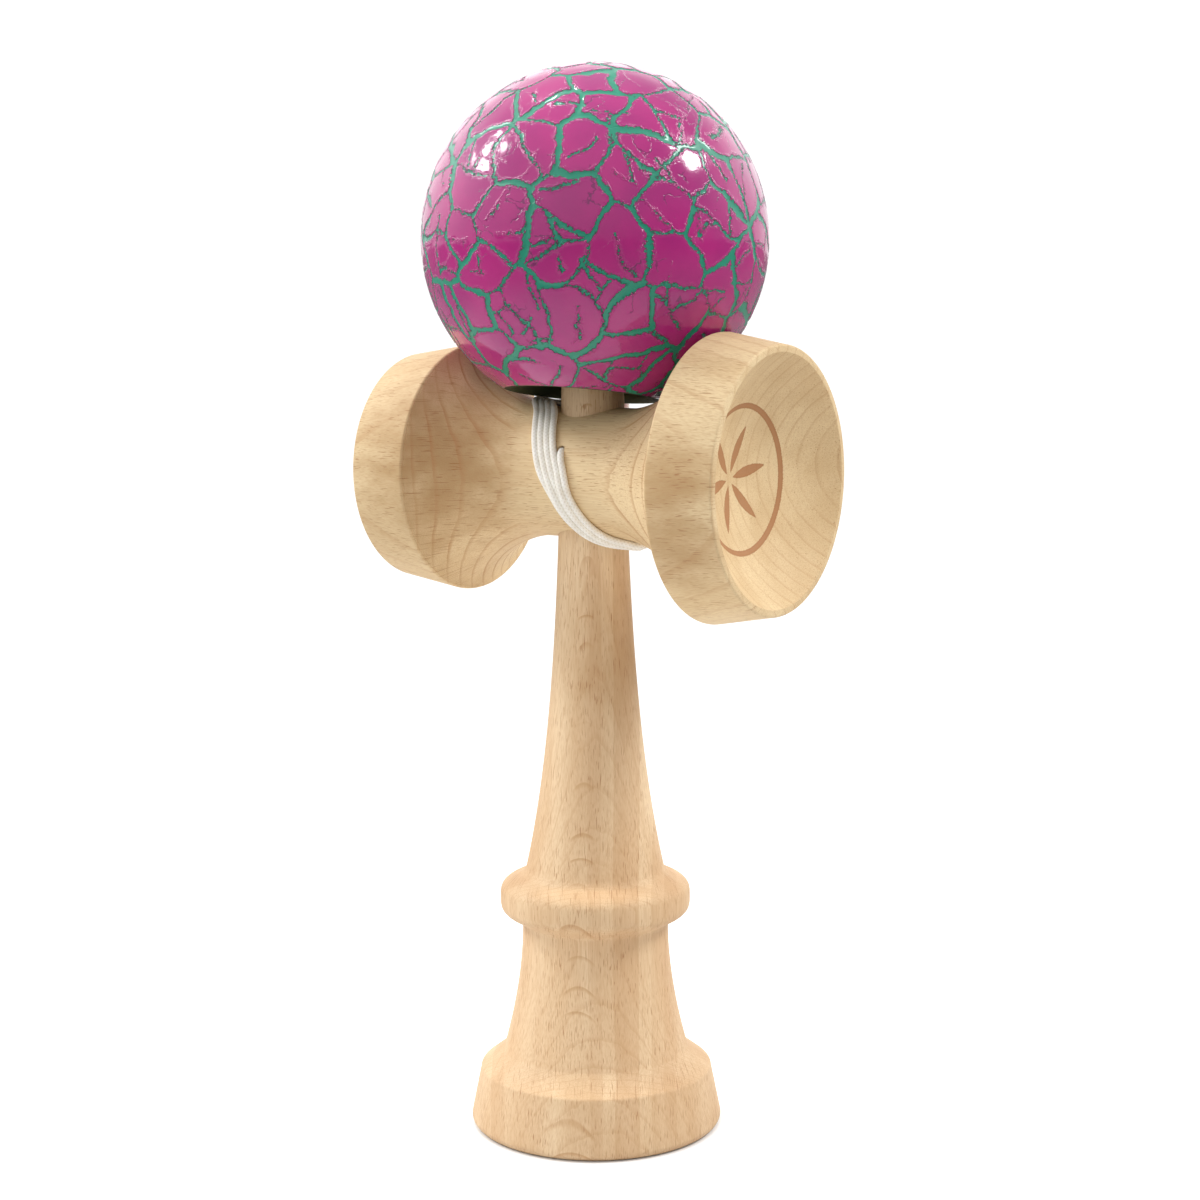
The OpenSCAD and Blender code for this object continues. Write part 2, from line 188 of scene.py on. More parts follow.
def add_attribute(made, name, values):
    attribute = made.data.attributes.new(name, "FLOAT", "POINT")
    attribute.data.foreach_set("value", values.astype(np.float32))


def turned_rings(profile, segments):
    """Points of a profile of (radius, height) turned round Z, one ring after the other."""
    rings = np.array(profile, float)
    turns = np.arange(segments) * 2 * math.pi / segments
    return np.stack([rings[:, :1] * np.cos(turns), rings[:, :1] * np.sin(turns),
                     np.repeat(rings[:, 1:], segments, axis=1)], axis=-1).reshape(-1, 3)


def lathe(profile, segments):
    """Points and faces of a closed body turned round Z, from a profile that starts and ends on Z."""
    inner = profile[1:-1]
    points = np.vstack([[(0, 0, profile[0][1])], turned_rings(inner, segments), [(0, 0, profile[-1][1])]])
    last = len(points) - 1
    top = 1 + (len(inner) - 1) * segments
    faces = []
    for k in range(segments):
        n = (k + 1) % segments
        faces.append((0, 1 + n, 1 + k))
        faces.append((last, top + k, top + n))
        for i in range(len(inner) - 1):
            a = 1 + i * segments
            faces.append((a + k, a + n, a + segments + n, a + segments + k))
    return points, faces


def distances(path):
    """How far along the path each of its points lies."""
    return np.concatenate([[0], np.cumsum(np.linalg.norm(np.diff(path, axis=0), axis=1))])


def tube(path, radius, sides, relief=None):
    """Points, faces and the points' heights of a round tube with closed ends.
    relief(along, angles) gives the heights."""
    path = np.asarray(path, float)
    ways = np.gradient(path, axis=0)
    ways /= np.linalg.norm(ways, axis=1, keepdims=True)
    across = np.cross(ways[0], (1, 0, 0) if abs(ways[0][0]) < 0.9 else (0, 1, 0))
    angles = np.arange(sides) * 2 * np.pi / sides
    rings, heights = [], []
    for point, way, along in zip(path, ways, distances(path)):
        across = across - way * (across @ way)
        across /= np.linalg.norm(across)
        over = np.cross(way, across)
        height = relief(along, angles) if relief else np.full(sides, BRAID_MIDDLE)
        grown = radius * (1 + BRAID_DEPTH_SHARE * (height - BRAID_MIDDLE))
        heights.append(height)
        rings.append(point + np.outer(grown * np.cos(angles), across)
                     + np.outer(grown * np.sin(angles), over))
    points = np.vstack(rings + [path[:1], path[-1:]])
    first, last, top = len(points) - 2, len(points) - 1, (len(path) - 1) * sides
    faces = []
    for k in range(sides):
        n = (k + 1) % sides
        faces += [(first, n, k), (last, top + k, top + n)]
        faces += [(i * sides + k, i * sides + n, (i + 1) * sides + n, (i + 1) * sides + k)
                  for i in range(len(path) - 1)]
    return points, faces, np.concatenate(heights + [[0, 0]])


def spaced(path, step):
    """The path again, with points a step apart."""
    path = np.asarray(path, float)
    along = distances(path)
    at = np.linspace(0, along[-1], max(2, int(round(along[-1] / step)) + 1))
    return np.stack([np.interp(at, along, path[:, k]) for k in range(3)], axis=1)


def arc(x, y, r, start, end):
    angles = np.radians(np.linspace(start, end, EDGE_STEPS))
    return [(x + r * math.cos(a), y + r * math.sin(a)) for a in angles]


def rounded(points):
    """The same profile on a smooth curve through its points."""
    places = np.array([points[0], *points, points[-1]], float)
    shares = np.arange(ROUNDED_STEPS) / ROUNDED_STEPS
    curve = [tuple(b + 0.5 * t * (c - a + t * (2 * a - 5 * b + 4 * c - d + t * (3 * (b - c) + d - a))))
             for a, b, c, d in zip(places, places[1:], places[2:], places[3:]) for t in shares]
    return curve + [tuple(places[-1])]


def dish(rim_r, depth, steps):
    """Profile of a dish from its middle to its rim, as radius and depth."""
    r = (rim_r**2 + depth**2) / (2 * depth)
    angles = np.linspace(0, math.asin(rim_r / r), steps)
    return [(r * math.sin(a), depth - r * (1 - math.cos(a))) for a in angles]


# Routes of the string
def neck_r(x):
    cup = BIG if x > 0 else SMALL
    t = min(1.0, max(0.0, abs(x) - WAIST_HALF) / (cup["shoulder_x"] - WAIST_HALF))
    return WAIST_R + (cup["shoulder_r"] - WAIST_R) * (1 - (1 - t**NECK_POWER) ** (1 / NECK_POWER))


def lean_share(turn):
    return math.asin(LEAN_ROUND * math.sin(math.radians(turn))) / math.asin(LEAN_ROUND)


def under_share(turn):
    """How far the string has gone under the waist, where its turns are pressed together beside the handle."""
    return float(smooth_step(lean_share(turn), UNDER_FROM, UNDER_TO))


def turn_x(turn):
    u = lean_share(turn)
    spread = STRING_STEP * (1 - SQUEEZE_SHARE * under_share(turn))
    return (LEAN_MIDDLE_X + LEAN_STRAIGHT * u + LEAN_CURL * u**LEAN_CURL_POWER
            + spread * (TURNS / 2 - turn / 360))


def round_waist(x, r, turn):
    return np.array((x, -r * math.cos(math.radians(turn)), CROSS_Z - r * math.sin(math.radians(turn))))


def string_r(turn):
    odd = math.floor((turn + 180) / 360) % 2
    return neck_r(turn_x(turn)) + STRING_LIFT + STRING_D / 2 + odd * PILE_H * under_share(turn)


def over_ball(out, up):
    """A point beside the ball's leaning axis, on the side where the string goes up."""
    y = out * math.cos(OVER_BEARING)
    return BALL_PLACE + np.array((-out * math.sin(OVER_BEARING),
                                  y * math.cos(BALL_LEAN) + up * math.sin(BALL_LEAN),
                                  up * math.cos(BALL_LEAN) - y * math.sin(BALL_LEAN)))


LAST_TURN = 360 * TURNS + LEAVE_TURN
HOLE_X = turn_x(HOLE_TURN)


def winding_route():
    """From the knot out through the hole, in a bend into the first turn, and off at the back of the waist."""
    first = HOLE_TURN + LEAD_TURN
    bend = [(HOLE_TURN + LEAD_TURN * (1 - math.cos(a)), LEAD_H * (1 - math.sin(a)))
            for a in np.linspace(0, math.pi / 2, LEAD_STEPS)[:-1]]
    turns = np.linspace(first, LAST_TURN, int(LAST_TURN - first) // TURN_STEP)
    return ([round_waist(HOLE_X, KNOT_PLACE_R, HOLE_TURN)]
            + [round_waist(turn_x(t), string_r(t) - low, t) for t, low in bend]
            + [round_waist(turn_x(t), string_r(t), t) for t in turns])


def over_route():
    """Up the back of the ball, in a bend into the hole at its pole, and down to the bead's knot."""
    over_r = BALL_R + BALL_GAP + STRING_D / 2
    bend_h = math.sqrt((over_r - POLE_BEND_R) ** 2 - POLE_BEND_R**2)
    over_to = math.asin(POLE_BEND_R / (over_r - POLE_BEND_R))
    end_h = BEAD_KNOT_H - BEAD_KNOT_SHARE * KNOT_R / 2
    return ([over_ball(over_r * math.sin(a), over_r * math.cos(a))
             for a in np.linspace(OVER_FROM, over_to, OVER_STEPS)]
            + [over_ball(POLE_BEND_R * (1 + math.sin(a)), bend_h + POLE_BEND_R * math.cos(a))
               for a in np.linspace(over_to, -math.pi / 2, POLE_STEPS)[1:]]
            + [over_ball(0, end_h)])


WINDING, OVER = winding_route(), over_route()
RISER_WAY = (OVER[0] - WINDING[-1]) / np.linalg.norm(OVER[0] - WINDING[-1])
RISER = [WINDING[-1] + RISER_OFF * RISER_WAY, OVER[0]]
WINDING.append(RISER[0] + RISER_LAP * RISER_WAY)


def braid(along, angles):
    """Height of the strands, which cross as they wind both ways round the string, from -1 to 1."""
    lead = 2 * math.pi / BRAID_PITCH * along
    return np.maximum(np.cos(BRAID_STRANDS * angles + lead), np.cos(BRAID_STRANDS * angles - lead))


def string_piece(name, route):
    route = spaced(route, STRING_MESH_STEP)
    points, faces, height = tube(route, STRING_D / 2, STRING_SIDES, braid)
    made = mesh_object(name, points, faces, ALL_SMOOTH)
    add_attribute(made, "height", height)
    return made, route


def knot(name, middle, way, r):
    """A tight overhand knot inside a ball of a given radius, with its axis along way."""
    t = np.linspace(0, 2 * math.pi, KNOT_STEPS + 1)[:-1]
    thick = KNOT_THICK_SHARE * r
    lobes = np.stack([np.sin(t) + 2 * np.sin(2 * t), np.cos(t) - 2 * np.cos(2 * t), -1.5 * np.sin(3 * t)],
                     axis=1)
    lobes *= (r - thick) / np.linalg.norm(lobes, axis=1).max()
    up = np.array(way, float) / np.linalg.norm(way)
    side = np.cross(up, (1, 0, 0))
    side /= np.linalg.norm(side)
    place = lobes @ np.array([side, np.cross(up, side), up]) + np.array(middle)
    points, faces, _ = tube(np.vstack([place, place[:2]]), thick, KNOT_SIDES)
    return mesh_object(name, points, faces, ALL_SMOOTH)


# Shaders
class Nodes:
    """Short names for adding nodes to a tree."""

    def __init__(self, tree):
        self.tree = tree

    def into(self, node, sockets):
        for key, value in sockets.items():
            if isinstance(value, bpy.types.NodeSocket):
                self.tree.links.new(value, node.inputs[key])
            else:
                node.inputs[key].default_value = value

    def add(self, kind, sockets, **settings):
        node = self.tree.nodes.new("ShaderNode" + kind)
        for key, value in settings.items():
            setattr(node, key, value)
        self.into(node, sockets)
        return node

    def math(self, operation, a, b=0.0, c=0.0):
        return self.add("Math", {0: a, 1: b, 2: c}, operation=operation).outputs[0]

    def times(self, a, b):
        return self.math("MULTIPLY", a, b)

    def own_place(self):
        return self.add("TexCoord", {}).outputs["Object"]

    def place(self):
        """The object's own place in millimetres."""
        return self.add("VectorMath", {0: self.own_place(), "Scale": 1 / MM}, operation="SCALE").outputs[0]

    def stretched(self, place, stretch):
        return self.add("VectorMath", {0: place, 1: stretch}, operation="MULTIPLY").outputs[0]

    def less(self, place, other):
        return self.add("VectorMath", {0: place, 1: other}, operation="SUBTRACT").outputs[0]

    def along(self, place, way):
        return self.add("VectorMath", {0: place, 1: way}, operation="DOT_PRODUCT").outputs["Value"]

    def size(self, place):
        return self.add("VectorMath", {0: place}, operation="LENGTH").outputs["Value"]

    def attribute(self, name):
        return self.add("Attribute", {}, attribute_name=name).outputs["Fac"]

    def camera_ray(self):
        return self.add("LightPath", {}).outputs["Is Camera Ray"]

    def noise(self, place, scale, detail=2.0, roughness=0.5, output="Fac"):
        return self.add("TexNoise", {"Vector": place, "Scale": scale, "Detail": detail,
                                     "Roughness": roughness}).outputs[output]

    def remap(self, value, low, high, to_low=0.0, to_high=1.0):
        return self.add("MapRange", {"Value": value, "From Min": low, "From Max": high, "To Min": to_low,
                                     "To Max": to_high}, interpolation_type="SMOOTHSTEP").outputs[0]

    def mix(self, share, a, b):
        return self.add("Mix", {0: share, 6: a, 7: b}, data_type="RGBA").outputs[2]

    def bump(self, height, distance):
        return self.add("Bump", {"Height": height, "Distance": distance * MM}).outputs["Normal"]


class Shader(Nodes):
    """The nodes of a material with one Principled shader."""

    def __init__(self, name, sockets):
        self.material = bpy.data.materials.new(name)
        self.material.use_nodes = True
        super().__init__(self.material.node_tree)
        self.shader = self.tree.nodes["Principled BSDF"]
        self.into(self.shader, sockets)


# Wood: a size is a length along the fibres and a width across them, with the noise's detail where it isn't 1.
# A range is where a marking starts and is full, and then the values that it has there if they aren't 0 and 1.
WOOD_GLOSS = {"Roughness": 0.6, "Specular IOR Level": 0.25}
# The second colour darkens spots that are partly stains of the wood and partly painted shade and painted
# shadow.
WOOD_DARK, STAIN_AND_SHADE = srgb(190, 142, 96), srgb(186, 148, 102)
PORE, BURNT = srgb(164, 104, 60), srgb(176, 120, 78)
SWAY_SIZE, BOARD_SIZE, BOARD_RANGE = (120, 14), (70, 7, 2.0), (0.3, 0.7)
# Ragged edge and reach of the darker spots, which are stains of the wood, painted shade and painted shadow.
STAIN_AND_SHADE_SIZE, STAIN_AND_SHADE_RAGGED_SHARE, STAIN_AND_SHADE_SHARES = (9, 4, 2.0), 0.8, (1.3, 0.4)
RING_SWAY, RING_WOBBLE_SIZE, RING_WOBBLE = 1.2, (25, 2.5, 2.0), 0.5
RING_RISE, RING_FALL = (0.74, 0.96), (1.0, 0.97)
RING_PATCH_SIZE, RING_PATCH_RANGE = (30, 9), (0.3, 0.65, 0.45, 1.0)
NECK_RANGE, DISH_RANGE = (9.0, 14.0, 0.1, 0.75), (23.5, 25.5, 0.0, 0.45)
STRIPE_W, STRIPE_SWAY, STRIPE_STRENGTH = 2.2, 2.0, 0.36
ARC_GAP, ARC_OFF_SHARE, ARC_HALF_SHARE, ARC_SAG_SHARE = 6.0, 0.2, 0.24, 3.0
ARC_WOBBLE_SIZE, ARC_WOBBLE, ARC_RISE, ARC_FALL = (16, 30), 16.0, (0.8, 0.95), (1.0, 0.96)
ARC_PATCH_SIZE, ARC_PATCH_RANGE = (11, 40), (0.4, 0.6, 0.1, 0.55)
FINE_SIZE, FINE_RANGE = (5.0, 0.19, 2.0), (0.35, 0.75, 0.0, 0.32)
CROWD_SIZE, CROWD_RANGE = (25, 6), (0.3, 0.7, -0.02, 0.05)
DASH_SIZE, DASH_RANGE, DASH_STRENGTH = (2.2, 0.2), (0.66, 0.72), 0.75
LONG_DASH_SIZE, LONG_DASH_RANGE = (4.5, 0.22), (0.68, 0.74)
FLECK_SIZE, FLECK_RANGE = (3.0, 0.2), (0.66, 0.74)
PORE_STRENGTH, PORE_DEPTH, WOOD_BUMP = 0.72, 0.6, 0.03
IN_DISH_X, IN_BIG_DISH_R, IN_SMALL_DISH_R = 26.5, 21.5, 19.2
BURNT_RAGGED, BURNT_RANGE, BURNT_STRENGTH = 0.25, (-0.06, 0.06), 0.86
BURNT_RIM_RANGE, BURNT_RIM_STRENGTH = (0.3, 0.02), 0.35


class Wood(Shader):
    """Sanded beech with its fibres along the axis numbered grain.
    turned is the lathe's axis as a point on it, the way to the front and the way to the side."""

    def __init__(self, name, grain, turned):
        super().__init__(name, WOOD_GLOSS)
        self.grain, self.at = grain, self.place()
        axis_place, to_front, to_side = turned
        from_axis = self.less(self.at, axis_place)
        front, self.side = self.along(from_axis, to_front), self.along(from_axis, to_side)
        squares = self.math("MULTIPLY_ADD", front, front, self.times(self.side, self.side))
        self.radius = self.math("SQRT", squares)
        self.girth = self.times(self.math("ARCTAN2", self.side, front), self.radius)
        self.length = self.along(self.at, self.each_way(1.0, 0.0))
        self.sway = self.fibres(*SWAY_SIZE)

    def each_way(self, along, across):
        """A vector with one value along the fibres and another across them."""
        return tuple(along if axis == self.grain else across for axis in range(3))

    def fibres(self, length, width, detail=1.0):
        """Noise in straight streaks along the fibres."""
        return self.noise(self.stretched(self.at, self.each_way(1 / length, 1 / width)), 1.0, detail)

    def dashes(self, length, width):
        """Noise in streaks that follow the turned surface."""
        spread = {0: self.math("DIVIDE", self.length, length), 1: self.math("DIVIDE", self.girth, width)}
        return self.noise(self.add("CombineXYZ", spread).outputs[0], 1.0, 1.0)

    def late_lines(self, depth, gap, rise, fall):
        """Lines a gap apart that darken slowly and end sharply."""
        phase = self.math("FRACT", self.math("DIVIDE", depth, gap))
        return self.times(self.remap(phase, *rise), self.remap(phase, *fall))

    # A darker spot with a ragged edge, used for stains of the wood and for painted shade and painted shadow.
    def stain_and_shade(self, middle, radius, strength):
        away = self.add("VectorMath", {0: self.at, 1: middle}, operation="DISTANCE").outputs["Value"]
        away = self.math("MULTIPLY_ADD", self.fibres(*STAIN_AND_SHADE_SIZE), STAIN_AND_SHADE_RAGGED_SHARE * radius, away)
        return self.remap(away, *(share * radius for share in STAIN_AND_SHADE_SHARES), 0.0, strength)

    def growth_rings(self, trunk, gap):
        """Rings round the middle of the tree, which goes through trunk. They are fainter in patches."""
        across = self.stretched(self.less(self.at, trunk), self.each_way(0.0, 1.0))
        depth = self.math("MULTIPLY_ADD", self.sway, RING_SWAY, self.size(across))
        depth = self.math("MULTIPLY_ADD", self.fibres(*RING_WOBBLE_SIZE), RING_WOBBLE, depth)
        patchy = self.remap(self.fibres(*RING_PATCH_SIZE), *RING_PATCH_RANGE)
        return self.times(self.late_lines(depth, gap, RING_RISE, RING_FALL), patchy)

    def neck_share(self):
        """Strength of rings that show on the necks, faintly in the dishes and hardly on the waist."""
        reach = self.math("ABSOLUTE", self.length)
        return self.math("SUBTRACT", self.remap(reach, *NECK_RANGE), self.remap(reach, *DISH_RANGE))

    def stripes(self):
        """Straight stripes of uneven shade, side by side."""
        strip = self.math("MULTIPLY_ADD", self.sway, STRIPE_SWAY, self.side)
        number = self.math("FLOOR", self.math("DIVIDE", strip, STRIPE_W))
        shade = self.add("TexWhiteNoise", {"W": number}, noise_dimensions="1D").outputs["Value"]
        return self.times(shade, STRIPE_STRENGTH)

    def arcs(self):
        """Growth rings cut slantwise, as arcs one over the other in a strip along the front."""
        off = self.math("ADD", self.math("DIVIDE", self.side, self.radius), ARC_OFF_SHARE)
        sag = self.times(self.times(off, off), self.times(self.radius, ARC_SAG_SHARE))
        height = self.math("ADD", sag, self.length)
        height = self.math("MULTIPLY_ADD", self.fibres(*ARC_WOBBLE_SIZE), ARC_WOBBLE, height)
        in_strip = self.remap(self.math("ABSOLUTE", off), ARC_HALF_SHARE, ARC_HALF_SHARE / 2)
        curve = self.times(self.late_lines(height, ARC_GAP, ARC_RISE, ARC_FALL), in_strip)
        return self.times(curve, self.remap(self.fibres(*ARC_PATCH_SIZE), *ARC_PATCH_RANGE))

    def in_dish(self):
        """1 in the crosspiece's dishes and 0 elsewhere."""
        middle, half = (IN_BIG_DISH_R + IN_SMALL_DISH_R) / 2, (IN_BIG_DISH_R - IN_SMALL_DISH_R) / 2
        rim_r = self.math("MULTIPLY_ADD", self.math("SIGN", self.length), half, middle)
        far = self.math("GREATER_THAN", self.math("ABSOLUTE", self.length), IN_DISH_X)
        return self.times(far, self.math("LESS_THAN", self.radius, rim_r))

    def pores(self, dished):
        """Short and long dark dashes. In a dish, which cuts the fibres across, they are flecks."""
        crowd = self.remap(self.fibres(*CROWD_SIZE), *CROWD_RANGE)
        short = self.remap(self.math("ADD", self.dashes(*DASH_SIZE), crowd), *DASH_RANGE)
        long = self.remap(self.dashes(*LONG_DASH_SIZE), *LONG_DASH_RANGE)
        if dished:
            in_dish = self.in_dish()
            short = self.mix(in_dish, short, self.remap(self.fibres(*FLECK_SIZE), *FLECK_RANGE))
            long = self.times(long, self.math("SUBTRACT", 1.0, in_dish))
        return self.math("MAXIMUM", self.times(short, DASH_STRENGTH), long)


def wood(name, grain, turned, trunk, ring_gap, tones, rings=None, striped=False, cups=False, stains_and_shade=()):
    """A material of sanded beech. rings is the strength of its growth rings, or None for those of the necks.
    striped wood has stripes and arcs. Wood with cups has flecks in its dishes, and the burnt rosette.
    stains_and_shade are darker spots, each given as a middle, a radius and a strength: stains of the wood,
    painted shade and painted shadow."""
    s = Wood(name, grain, turned)
    colour = s.mix(s.remap(s.fibres(*BOARD_SIZE), *BOARD_RANGE), *tones)
    # Darker spots of stain, painted shade and painted shadow.
    for spot in stains_and_shade:
        colour = s.mix(s.stain_and_shade(*spot), colour, STAIN_AND_SHADE)
    ring_strength = s.neck_share() if rings is None else rings
    colour = s.mix(s.times(s.growth_rings(trunk, ring_gap), ring_strength), colour, WOOD_DARK)
    if striped:
        colour = s.mix(s.stripes(), colour, WOOD_DARK)
        colour = s.mix(s.arcs(), colour, WOOD_DARK)
    fine = s.fibres(*FINE_SIZE)
    colour = s.mix(s.remap(fine, *FINE_RANGE), colour, WOOD_DARK)
    pores = s.pores(dished=cups)
    colour = s.mix(s.times(pores, PORE_STRENGTH), colour, PORE)
    if cups:
        edge = s.math("MULTIPLY_ADD", s.math("SUBTRACT", fine, 0.5), BURNT_RAGGED, s.attribute("burnt"))
        ink = s.remap(edge, *BURNT_RANGE)
        colour = s.mix(s.times(ink, BURNT_STRENGTH), colour, BURNT)
        ink_rim = s.times(s.remap(edge, *BURNT_RIM_RANGE), s.times(ink, BURNT_RIM_STRENGTH))
        colour = s.mix(ink_rim, colour, PORE)
    normal = s.bump(s.math("SUBTRACT", fine, s.times(pores, PORE_DEPTH)), WOOD_BUMP)
    s.into(s.shader, {"Base Color": colour, "Normal": normal})
    return s.material


STRING_GLOSS = {"Roughness": 0.8, "Specular IOR Level": 0.2, "Sheen Weight": 0.3}
# The last colour is painted shade in the grooves of the braid.
STRING_PALE, STRING_BASE, STRING_GROOVE_SHADE = srgb(254, 251, 243), srgb(247, 242, 231), srgb(224, 215, 198)
STRING_CLOUD, STRING_CLOUD_RANGE = (0.6, 3.0), (0.35, 0.7)
STRING_GROOVE_SHADE_RANGE, STRING_FUZZ, STRING_BUMP = (0.5, -0.3, 0.0, 0.45), (9.0, 2.0), 0.04


def string_material():
    s = Shader("braided_string", STRING_GLOSS)
    place = s.place()
    colour = s.mix(s.remap(s.noise(place, *STRING_CLOUD), *STRING_CLOUD_RANGE), STRING_PALE, STRING_BASE)
    # Painted shade in the grooves between the strands, where the braid's height is low.
    colour = s.mix(s.remap(s.attribute("height"), *STRING_GROOVE_SHADE_RANGE), colour, STRING_GROOVE_SHADE)
    s.into(s.shader, {"Base Color": colour, "Normal": s.bump(s.noise(place, *STRING_FUZZ), STRING_BUMP)})
    return s.material


# Lacquer: noises are a scale, a detail and a roughness. Ranges in a crack are in millimetres from its edge.
LACQUER_GLOSS = {"Coat Weight": 0.5, "Coat Roughness": 0.03, "Specular IOR Level": 0.45}
SKIN, SKIN_DEEP, SKIN_DARK = srgb(184, 32, 124), srgb(166, 26, 117), srgb(150, 30, 110)
# The last colour is painted shade along the edges of the sunk cracks.
CRACK_GREEN, HAIR_DARK, CRACK_EDGE_SHADE = srgb(0, 142, 112), srgb(70, 26, 74), srgb(56, 20, 62)
RAGGED, RAGGED_REACH = (2.0, 3.0, 0.7), 1.3
HAIR_CELL, HAIR_BEND, HAIR_BEND_REACH = 3.6, (0.4, 3.0, 0.6), (3.0, 3.0, 3.0)
HAIR_PATCH, HAIR_PATCH_RANGE, HAIR_RANGE = (0.16, 2.0), (0.45, 0.66, -0.3, 0.1), (-0.05, 0.05)
BARE_RANGE, CRACK_EDGE_SHADE_RISE, CRACK_EDGE_SHADE_FALL = (-0.04, 0.04), (-0.12, -0.02), (0.08, 0.0)
SKIN_CLOUD, SKIN_CLOUD_RANGE = (0.09, 3.0), (0.3, 0.7)
SKIN_FLECK, SKIN_FLECK_RANGE = (2.4, 2.0), (0.55, 0.75, 0.0, 0.2)
HAIR_STRENGTH, CRACK_EDGE_SHADE_STRENGTH = 0.6, 0.5
LIP_RISE, LIP_FALL, SINK_RANGE = (-0.5, -0.06), (0.1, -0.04), (-0.05, 0.1)
LIP_SHARE, SINK_SHARE, HAIR_SHARE, WAVE_SHARE = 0.35, -1.0, -0.15, 0.12
WAVES, LACQUER_BUMP, LACQUER_ROUGH = (0.5, 2.0), 0.18, (0.12, 0.45)


def lacquer_material():
    """A glossy skin with fine hair cracks, and with sunk cracks that have painted shade along their edges and
    raised lips.
    """
    s = Shader("crackle_lacquer", LACQUER_GLOSS)
    place = s.place()
    bend = s.noise(place, *HAIR_BEND, output="Color")
    bent = s.add("VectorMath", {0: bend, 1: HAIR_BEND_REACH, 2: place}, operation="MULTIPLY_ADD").outputs[0]
    cells = s.add("TexVoronoi", {"Vector": bent, "Scale": 1 / HAIR_CELL}, feature="DISTANCE_TO_EDGE")
    from_edge = s.times(cells.outputs["Distance"], HAIR_CELL)
    kept = s.remap(s.noise(bent, *HAIR_PATCH), *HAIR_PATCH_RANGE)
    hair = s.remap(s.math("SUBTRACT", kept, from_edge), *HAIR_RANGE)
    ragged = s.math("SUBTRACT", s.noise(place, *RAGGED), 0.5)
    deep = s.math("MULTIPLY_ADD", ragged, RAGGED_REACH, s.attribute("crack"))
    bare = s.remap(deep, *BARE_RANGE)
    # Painted shade: a dark line along the edges of the sunk cracks.
    edge_shade = s.times(s.remap(deep, *CRACK_EDGE_SHADE_RISE), s.remap(deep, *CRACK_EDGE_SHADE_FALL))
    skin = s.mix(s.remap(s.noise(place, *SKIN_CLOUD), *SKIN_CLOUD_RANGE), SKIN, SKIN_DEEP)
    skin = s.mix(s.remap(s.noise(place, *SKIN_FLECK), *SKIN_FLECK_RANGE), skin, SKIN_DARK)
    skin = s.mix(s.times(hair, HAIR_STRENGTH), skin, HAIR_DARK)
    colour = s.mix(bare, skin, CRACK_GREEN)
    colour = s.mix(s.times(edge_shade, CRACK_EDGE_SHADE_STRENGTH), colour, CRACK_EDGE_SHADE)
    lip = s.times(s.remap(deep, *LIP_RISE), s.remap(deep, *LIP_FALL))
    height = s.math("MULTIPLY_ADD", lip, LIP_SHARE, s.times(s.remap(deep, *SINK_RANGE), SINK_SHARE))
    height = s.math("MULTIPLY_ADD", hair, HAIR_SHARE, height)
    height = s.math("MULTIPLY_ADD", s.noise(place, *WAVES), WAVE_SHARE, height)
    normal = s.bump(height, LACQUER_BUMP)
    rough = s.remap(bare, 0.0, 1.0, *LACQUER_ROUGH)
    s.into(s.shader, {"Base Color": colour, "Normal": normal, "Coat Normal": normal, "Roughness": rough})
    return s.material


MOUTH_GLOSS = {"Roughness": 0.75, "Specular IOR Level": 0.2}
# Green paint in the ball's mouth, darkened to dark olive as painted shade.
MOUTH_SHADE_DARK, MOUTH_SHADE_PALE, MOUTH_STREAK = srgb(40, 46, 30), srgb(72, 78, 52), (0.5, 3.0)


def shaded_mouth_material():
    s = Shader("shaded_mouth_paint", MOUTH_GLOSS)
    s.into(s.shader, {"Base Color": s.mix(s.noise(s.place(), *MOUTH_STREAK), MOUTH_SHADE_DARK, MOUTH_SHADE_PALE)})
    return s.material


# Handle
def shaft_r(z):
    return SHAFT_LIMIT_R + (SHAFT_FOOT_R - SHAFT_LIMIT_R) * math.exp(-(z - SHAFT_FOOT_Z) / SHAFT_DECAY_H)


def handle_profile():
    seat_low, seat_high = CROSS_Z - WAIST_R, CROSS_Z + WAIST_R
    tip_z = HANDLE_H - SPIKE_TIP_R
    shares = np.linspace(0, 1, CURVE_STEPS)
    bell = [(BELL_TOP_R + (BELL_FOOT_R - BELL_TOP_R) * (1 - t) ** BELL_POWER,
             BELL_FOOT_Z + (BELL_TOP_Z - BELL_FOOT_Z) * t) for t in shares]
    shaft = [(shaft_r(z), z) for z in np.linspace(SHAFT_START_Z, seat_low, SHAFT_STEPS)]
    spike = [(SPIKE_ROOT_R + (SPIKE_TIP_R - SPIKE_ROOT_R) * t**SPIKE_POWER,
              seat_high + (tip_z - seat_high) * t) for t in shares]
    tip = [(SPIKE_TIP_R * math.cos(a), tip_z + SPIKE_TIP_R * math.sin(a))
           for a in np.linspace(0, math.pi / 2, TIP_STEPS)[1:]]
    return (dish(BASE_FOOT_R - FOOT_EDGE_R - BASE_RIM_W, BASE_DISH_H, BASE_DISH_STEPS)
            + arc(BASE_FOOT_R - FOOT_EDGE_R, FOOT_EDGE_R, FOOT_EDGE_R, -90, 0)
            + arc(BASE_TOP_R - EDGE_R, BASE_H - EDGE_R, EDGE_R, 0, 60)
            + bell + rounded(RING_UNDER) + rounded(RING_OVER) + shaft + spike + tip)


